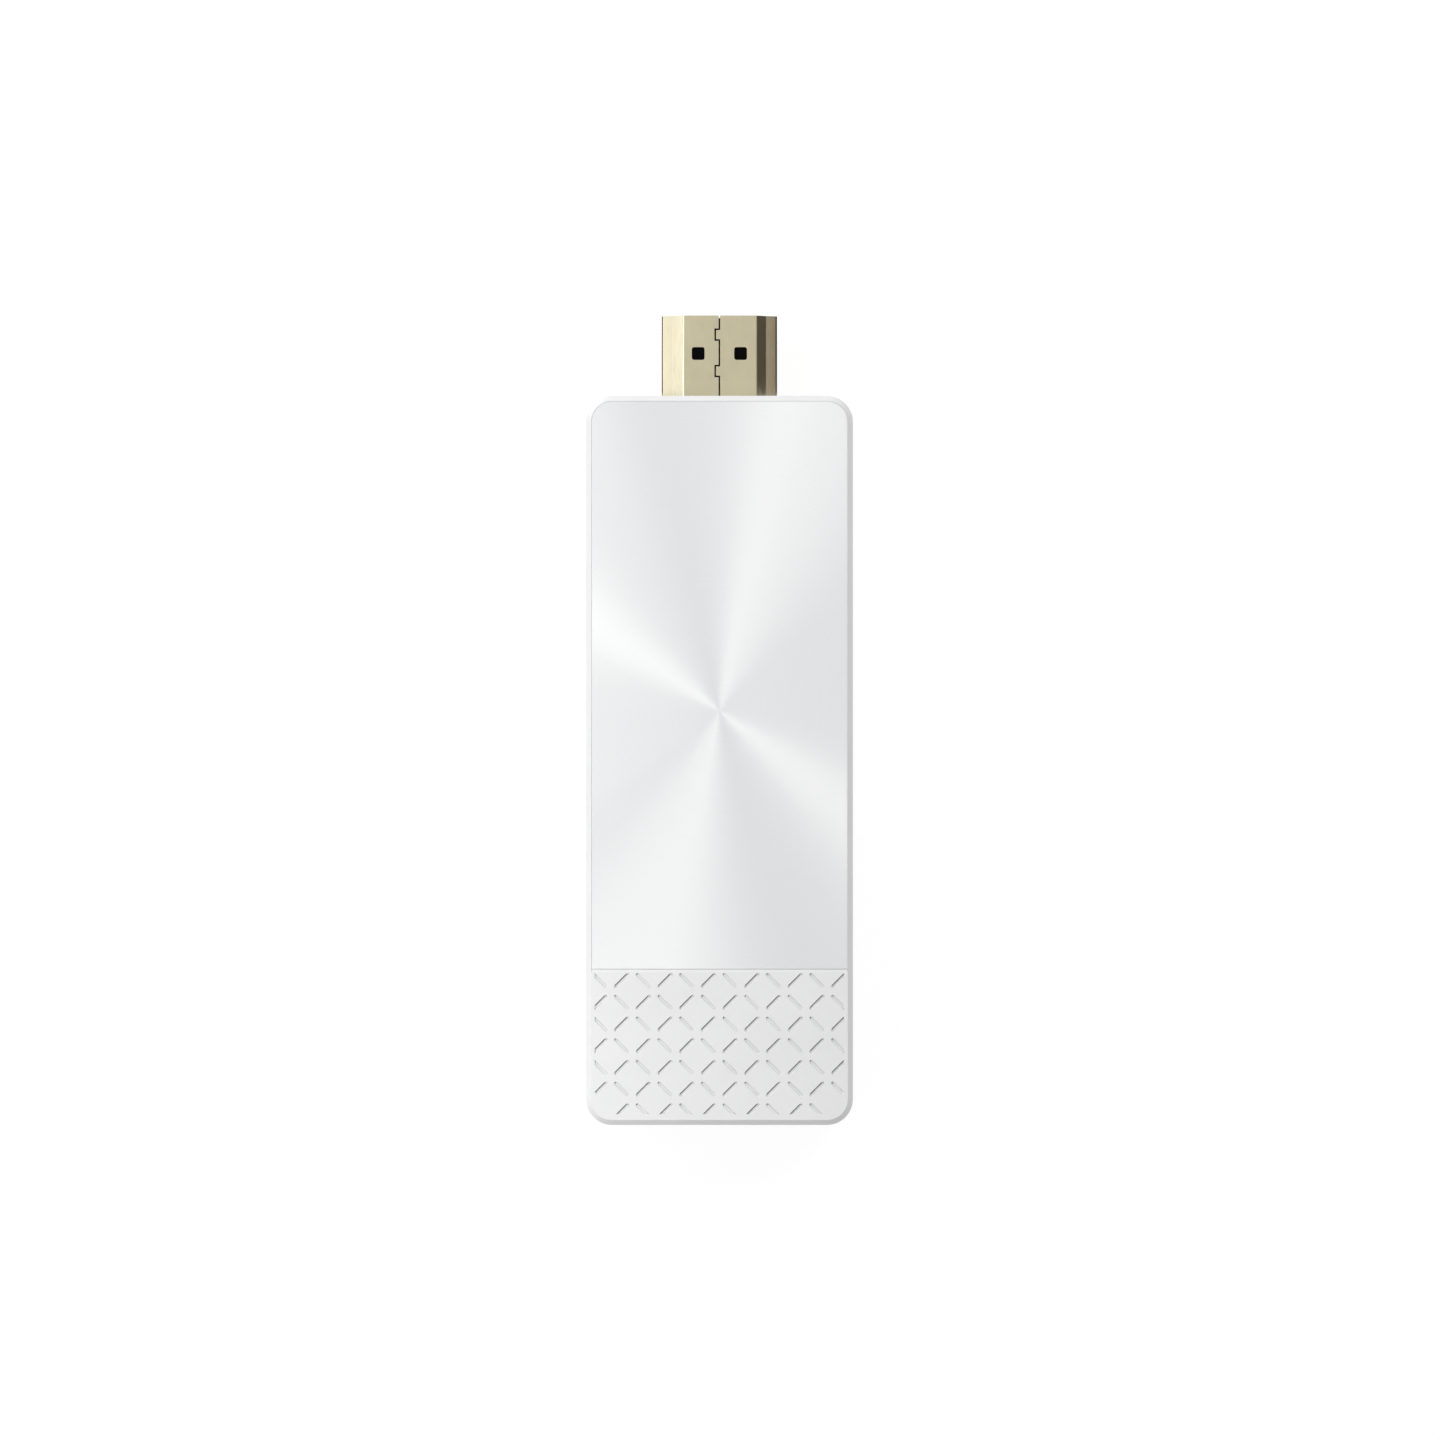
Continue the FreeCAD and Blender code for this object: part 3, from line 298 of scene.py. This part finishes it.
def spun_metal(name, dark, pale):
    """Lacquered metal turned in fine circles round one centre, so that highlights fan out from it."""
    material, tree, surface = new_material(name)
    offset = vector_maths(tree, "SUBTRACT", place(tree), SPIN_CENTRE)[0]
    flat = vector_maths(tree, "MULTIPLY", offset, (1, 1, 0))[0]
    outward = vector_maths(tree, "NORMALIZE", flat)[0]
    radius = vector_maths(tree, "LENGTH", flat)["Value"]
    rings = add_node(tree, "ShaderNodeTexNoise", {"W": radius, "Scale": 1 / (0.22 * MM), "Detail": 3.0},
                     noise_dimensions="1D").outputs["Fac"]
    tone = blended(tree, spread(tree, rings), rgba(dark), rgba(pale))
    feed(tree, surface, Base_Color=tone, Metallic=0.35, Anisotropic=1.0, Tangent=outward)
    feed(tree, surface, Roughness=spread(tree, rings, 0.29, 0.31))
    feed(tree, surface, Normal=bumped(tree, rings, 0.0001 * MM))
    return material


def end_capped(name, node, colour):
    """Small chips with tinned ends; the ends lie at the low and high Y of the row."""
    material, tree, surface = new_material(name)
    low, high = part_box(node)
    along = axes(tree, place(tree))["Y"]
    middle = between(tree, along, low.y + TINNED_END, high.y - TINNED_END)
    grain = noise(tree, 0.15 * MM)
    body = blended(tree, grain, rgba(colour, 0.85), rgba(colour))
    feed(tree, surface, Base_Color=blended(tree, middle, rgba(TIN), body))
    feed(tree, surface, Metallic=maths(tree, "SUBTRACT", 1.0, middle))
    feed(tree, surface, Roughness=spread(tree, grain, 0.3, 0.45))
    feed(tree, surface, Normal=bumped(tree, grain, 0.004 * MM, 0.06 * MM))
    return material


def circuit_board(name, colour):
    """Solder mask over copper: fine paler tracks in two directions, in patches, and a fibre grain."""
    material, tree, surface = new_material(name)
    where = place(tree)
    tracks = []
    # A wave of this size has its bands about 2.2 mm apart
    wave_size, patch_size = 7 * MM, 5 * MM
    for direction, shift in (("X", 0.0), ("Y", 40 * MM)):
        wave = add_node(tree, "ShaderNodeTexWave", {"Vector": where, "Scale": 1 / wave_size,
                                                    "Distortion": 0.0},
                        wave_type="BANDS", bands_direction=direction)
        shifted = vector_maths(tree, "ADD", where, (shift, shift, 0.0))[0]
        patches = add_node(tree, "ShaderNodeTexVoronoi", {"Vector": shifted, "Scale": 1 / patch_size},
                           distance="CHEBYCHEV")
        shown = ranged(tree, axes(tree, patches.outputs["Color"])["X"], 0.5, 0.52)
        lines = ranged(tree, wave.outputs["Fac"], 0.6, 0.75)
        tracks.append(maths(tree, "MULTIPLY", lines, shown))
    copper = maths(tree, "MAXIMUM", *tracks)
    feed(tree, surface, Base_Color=blended(tree, copper, rgba(colour), rgba(colour, 1.45)), Roughness=0.32)
    weave = noise(tree, 0.25 * MM, detail=3.0)
    feed(tree, surface, Normal=bumped(tree, maths(tree, "ADD", copper, weave), 0.004 * MM))
    return material


def soft_pad(name, colour):
    """Silicone gap pad: dull, with pale filler specks."""
    material, tree, surface = new_material(name)
    specks = noise(tree, 0.1 * MM, detail=4.0, roughness=0.7)
    tone = blended(tree, ranged(tree, specks, 0.45, 0.7), rgba(colour), rgba(colour, 1.3))
    feed(tree, surface, Base_Color=tone, Roughness=0.85)
    feed(tree, surface, Normal=bumped(tree, specks, 0.02 * MM))
    return material


def chip_package(name, colour):
    """Black moulding compound, matt and slightly speckled."""
    material, tree, surface = new_material(name)
    specks = noise(tree, 0.06 * MM, detail=4.0, roughness=0.7)
    feed(tree, surface, Base_Color=blended(tree, specks, rgba(colour, 0.7), rgba(colour, 1.5)))
    feed(tree, surface, Roughness=spread(tree, specks, 0.5, 0.65))
    feed(tree, surface, Normal=bumped(tree, specks, 0.003 * MM, 0.05 * MM))
    return material


def clear_plastic(name, colour):
    """Clear moulded plastic with a faint haze."""
    material, tree, surface = new_material(name)
    haze = noise(tree, 0.3 * MM, detail=3.0)
    tone = blended(tree, haze, rgba(colour, 0.97), rgba(colour))
    feed(tree, surface, Base_Color=tone, IOR=1.58, Transmission_Weight=0.85)
    feed(tree, surface, Roughness=spread(tree, haze, 0.12, 0.22))
    feed(tree, surface, Normal=bumped(tree, haze, 0.002 * MM, 0.08 * MM))
    return material


def moulded_capacitor(name, colour):
    """Moulded capacitor with a brown band near its high-Y end; both capacitors lie at the same Y."""
    material, tree, surface = new_material(name)
    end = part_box("bulk_capacitor_1")[1].y
    along = axes(tree, place(tree))["Y"]
    stripe = between(tree, along, end - STRIPE_START, end - STRIPE_END)
    grain = noise(tree, 0.12 * MM, detail=3.0)
    body = blended(tree, grain, rgba(colour, 0.9), rgba(colour))
    feed(tree, surface, Base_Color=blended(tree, stripe, body, rgba(STRIPE_COLOUR)))
    feed(tree, surface, Roughness=spread(tree, grain, 0.42, 0.55))
    feed(tree, surface, Normal=bumped(tree, grain, 0.004 * MM, 0.1 * MM))
    return material


def build_materials():
    """One material for each of the record's slots."""
    made = {}

    def add(make, slot, *values, **looks):
        made[slot] = make(slot, *values, **looks)

    # The shell gets painted shade in its recesses and on the groove walls that face the tail's right corner
    add(moulded_plastic, "shell_plastic", (0.765, 0.767, 0.770), edge_radius=0.03 * MM, cavity_tone=0.6,
        groove_tone=0.15)
    add(spun_metal, "spun_metal", dark=(0.684, 0.691, 0.703), pale=(0.696, 0.703, 0.713))
    add(sheet_metal, "gilt_sheet", (0.53, 0.483, 0.337), roughness=0.17, edge_radius=0.02 * MM)
    add(moulded_plastic, "black_insulator", (0.002, 0.002, 0.002), roughness=0.5, edge_radius=0.05 * MM,
        gloss=0.02)
    add(sheet_metal, "contact_metal", (0.87, 0.68, 0.32), roughness=0.2, edge_radius=0.02 * MM)
    add(moulded_plastic, "adhesive", (0.6, 0.61, 0.62), roughness=0.7, grain_depth=0.01 * MM)
    add(sheet_metal, "spreader_metal", (0.8, 0.81, 0.82), roughness=0.35)
    add(circuit_board, "circuit_board", (0.012, 0.085, 0.045))
    add(chip_package, "chip_package", (0.018, 0.018, 0.02))
    add(soft_pad, "thermal_pad", (0.34, 0.42, 0.5))
    add(sheet_metal, "shield_tin", (0.68, 0.69, 0.68), roughness=0.3)
    add(sheet_metal, "screw_steel", (0.52, 0.53, 0.55), roughness=0.28, stretch=(1.0, 1.0, 1.0))
    add(end_capped, "ceramic_part", "chip_capacitors", (0.42, 0.28, 0.16))
    add(end_capped, "resistor_part", "chip_resistors", (0.02, 0.02, 0.024))
    add(chip_package, "ferrite_part", (0.075, 0.075, 0.08))
    add(moulded_capacitor, "tantalum_part", (0.68, 0.4, 0.06))
    add(sheet_metal, "can_steel", (0.7, 0.7, 0.69), roughness=0.22)
    add(sheet_metal, "socket_steel", (0.6, 0.6, 0.61), roughness=0.24)
    add(moulded_plastic, "button_plastic", (0.74, 0.742, 0.75), roughness=0.4, edge_radius=0.08 * MM)
    add(moulded_plastic, "switch_plastic", (0.02, 0.02, 0.022), roughness=0.5)
    add(sheet_metal, "snap_steel", (0.6, 0.59, 0.56), roughness=0.2)
    add(clear_plastic, "clear_plastic", (0.9, 0.92, 0.92))
    add(moulded_plastic, "lamp_part", (0.85, 0.84, 0.6), roughness=0.3, edge_radius=0.05 * MM)
    return made


def dress_nodes():
    """Gives each CAD node the material of the slot that the record names for it."""
    materials = build_materials()
    slots = {part["node"]: part["material_slot"] for part in frame["record"]["subparts"]}
    for name, node in frame["nodes"].items():
        node.data.materials.clear()
        node.data.materials.append(materials[slots[name]])


# Studio

def seen_directly(tree):
    """1 for camera, glossy and transmission rays, which show the white surroundings, else 0."""
    rays = add_node(tree, "ShaderNodeLightPath").outputs
    either = maths(tree, "MAXIMUM", rays["Is Camera Ray"], rays["Is Glossy Ray"])
    return maths(tree, "MAXIMUM", either, rays["Is Transmission Ray"])


def build_world():
    """Plain soft surroundings: white where they are seen, and a dimmer even light on the object."""
    world = bpy.data.worlds.new("surroundings")
    world.use_nodes = True
    tree = world.node_tree
    tree.nodes.clear()
    strength = ranged(tree, seen_directly(tree), 0.0, 1.0, AMBIENT, 1.0)
    background = add_node(tree, "ShaderNodeBackground", {"Color": rgba((1, 1, 1)), "Strength": strength})
    add_node(tree, "ShaderNodeOutputWorld", {"Surface": background.outputs[0]})
    bpy.context.scene.world = world


def flat_piece(name, corners):
    """Four-cornered flat piece of the studio."""
    mesh = bpy.data.meshes.new(name)
    mesh.from_pydata(corners, [], [(0, 1, 2, 3)])
    piece = bpy.data.objects.new(name, mesh)
    bpy.context.scene.collection.objects.link(piece)
    return piece


def build_floor():
    """White floor that keeps the object's shadow; from below it is clear, so that the underside shows."""
    half = FLOOR_SIZE / 2
    floor = flat_piece("floor", [(-half, -half, FLOOR_LIFT), (half, -half, FLOOR_LIFT),
                                 (half, half, FLOOR_LIFT), (-half, half, FLOOR_LIFT)])
    material, tree = empty_material("floor_white")
    lit = add_node(tree, "ShaderNodeBsdfDiffuse", {"Color": rgba([FLOOR_TONE] * 3)})
    shaded = add_node(tree, "ShaderNodeBsdfDiffuse", {"Color": rgba([FLOOR_SHARE] * 3)})
    glow = add_node(tree, "ShaderNodeEmission", {"Color": rgba((1, 1, 1)), "Strength": FLOOR_GLOW})
    white = add_node(tree, "ShaderNodeAddShader", {0: shaded.outputs[0], 1: glow.outputs[0]})
    top = add_node(tree, "ShaderNodeMixShader", {0: seen_directly(tree), 1: lit.outputs[0],
                                                 2: white.outputs[0]})
    underneath = add_node(tree, "ShaderNodeNewGeometry").outputs["Backfacing"]
    clear = add_node(tree, "ShaderNodeBsdfTransparent")
    mixed = add_node(tree, "ShaderNodeMixShader", {0: underneath, 1: top.outputs[0], 2: clear.outputs[0]})
    add_node(tree, "ShaderNodeOutputMaterial", {"Surface": mixed.outputs[0]})
    floor.data.materials.append(material)


def around(azimuth, elevation, distance):
    """Offset towards an azimuth, counted from +X towards +Y, and an elevation."""
    a, e = math.radians(azimuth), math.radians(elevation)
    return Vector((math.cos(a) * math.cos(e), math.sin(a) * math.cos(e), math.sin(e))) * distance


def area_light(name, azimuth, elevation, distance, width, height, radiance, glossy):
    """Softbox that faces the middle of the plate's rings.

    It either lights the surfaces or shows in their gloss, as glossy says.
    """
    data = bpy.data.lights.new(name, "AREA")
    data.shape = "RECTANGLE"
    data.size = width
    data.size_y = height
    data.energy = radiance * math.pi * width * height
    data.color = GLOSS_TINT if glossy else (1, 1, 1)
    light = bpy.data.objects.new(name, data)
    offset = around(azimuth, elevation, distance)
    light.location = offset + Vector(SPIN_CENTRE)
    light.rotation_mode = "QUATERNION"
    light.rotation_quaternion = offset.to_track_quat("Z", "Y")
    light.visible_camera = False
    light.visible_diffuse = not glossy
    light.visible_glossy = glossy
    bpy.context.scene.collection.objects.link(light)


def build_lights():
    """Even light from the left and the top, and strips whose gloss fans out on the spun plate."""
    for name, values in SURFACE_LIGHTS.items():
        area_light(name, *values, glossy=False)
    for name, width, strips in (("narrow_strip", NARROW_WIDTH, NARROW_STRIPS),
                                ("wide_strip", WIDE_WIDTH, WIDE_STRIPS)):
        for azimuth, elevation, radiance in strips:
            area_light(name, azimuth, elevation, STRIP_DISTANCE, width, STRIP_HEIGHT, radiance, glossy=True)
    for name, values in NEAR_STRIPS.items():
        area_light(name, *values, glossy=True)


def gloss_card(name, corners, low, high, start, end, tint):
    """Flat card that shows in gloss only; its tone goes from low to high between two heights."""
    card = flat_piece(name, corners)
    material, tree = empty_material(name)
    tone = ranged(tree, axes(tree, place(tree))["Z"], start, end, low, high)
    glow = add_node(tree, "ShaderNodeEmission", {"Color": rgba(tint), "Strength": tone})
    add_node(tree, "ShaderNodeOutputMaterial", {"Surface": glow.outputs[0]})
    card.data.materials.append(material)
    card.visible_camera = False
    card.visible_diffuse = False
    card.visible_transmission = False
    card.visible_shadow = False


def build_cards():
    """A bright card left of the plug and a dark one right of it, each with a dark slanting foot."""
    rear, front = CARD_ENDS
    for side, name, values, foot_name in ((-1, "bright_card", BRIGHT_CARD, "left_floor_card"),
                                          (1, "dark_card", DARK_CARD, "right_floor_card")):
        near, far = side * CARD_START, side * CARD_DISTANCE
        wall = [(far, rear, CARD_FOOT), (far, front, CARD_FOOT), (far, front, CARD_HEIGHT),
                (far, rear, CARD_HEIGHT)]
        foot = [(near, rear, CARD_NEAR_EDGE), (near, front, CARD_NEAR_EDGE), (far, front, CARD_FOOT),
                (far, rear, CARD_FOOT)]
        gloss_card(name, wall, *values)
        gloss_card(foot_name, foot, *FOOT_CARD)


def build_camera():
    """Camera straight above, at the height where the frame is FRAME_WIDTH wide at the spun face."""
    data = bpy.data.cameras.new("camera")
    data.sensor_width = SENSOR_WIDTH
    data.lens = LENS
    camera = bpy.data.objects.new("camera", data)
    camera.location = (CAMERA_X, CAMERA_Y, TOP_Z + FRAME_WIDTH * LENS / SENSOR_WIDTH)
    bpy.context.scene.collection.objects.link(camera)
    bpy.context.scene.camera = camera


dress_nodes()
build_world()
build_floor()
build_lights()
build_cards()
build_camera()
bpy.context.scene.view_settings.view_transform = "Standard"
